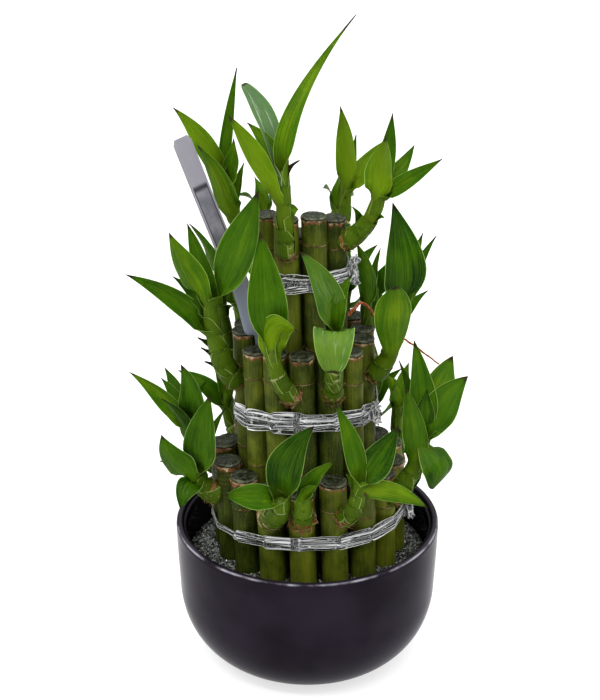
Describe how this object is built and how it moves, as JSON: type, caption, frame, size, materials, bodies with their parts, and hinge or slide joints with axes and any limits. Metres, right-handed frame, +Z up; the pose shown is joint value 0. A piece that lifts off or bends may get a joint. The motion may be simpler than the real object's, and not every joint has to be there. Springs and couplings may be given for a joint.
{
  "type": "lucky bamboo",
  "caption": "Lucky bamboo: tiers of cut canes with leafy shoots, bound by clear film ties and standing in crystal gravel in a round glazed bowl.",
  "frame": {"origin": "middle of the bowl's foot, on the surface that it stands on", "axes": "+Z up along the canes, -Y towards the front, +X to the right as seen from the front"},
  "size_m": [0.1551, 0.1421, 0.3048],
  "materials": {
    "glaze": "glossy near-black glaze",
    "gravel": "sparkling crystal gravel",
    "cane": "olive green bark with pale rings and a waxed cut top",
    "foliage": "glossy fleshy leaf",
    "film": "clear crumpled film",
    "label": "satin plastic strip",
    "root": "dry orange root"
  },
  "bodies": {
    "root": {"pot": "glaze", "gravel_bed": "gravel", "cane_core_0": "cane", "cane_inner_0": "cane", "cane_inner_1": "foliage", "cane_inner_2": "foliage", "cane_inner_3": "foliage", "cane_inner_4": "foliage", "cane_inner_5": "foliage", "cane_inner_6": "cane", "cane_inner_7": "foliage", "cane_middle_0": "foliage", "cane_middle_1": "foliage", "cane_middle_2": "cane", "cane_middle_3": "foliage", "cane_middle_4": "foliage", "cane_middle_5": "foliage", "cane_middle_6": "foliage", "cane_middle_7": "cane", "cane_middle_8": "foliage", "cane_middle_9": "foliage", "cane_middle_10": "foliage", "cane_middle_11": "foliage", "cane_middle_12": "cane", "cane_middle_13": "cane", "cane_outer_0": "foliage", "cane_outer_1": "foliage", "cane_outer_2": "cane", "cane_outer_3": "foliage", "cane_outer_4": "cane", "cane_outer_5": "foliage", "cane_outer_6": "cane", "cane_outer_7": "foliage", "cane_outer_8": "cane", "cane_outer_9": "foliage", "cane_outer_10": "foliage", "cane_outer_11": "foliage", "cane_outer_12": "foliage", "cane_outer_13": "cane", "cane_outer_14": "foliage", "cane_outer_15": "cane", "cane_outer_16": "foliage", "tie_lower": "film", "tie_middle": "film", "tie_upper": "film", "plant_label": "label", "aerial_root": "root"}
  },
  "joints": []
}
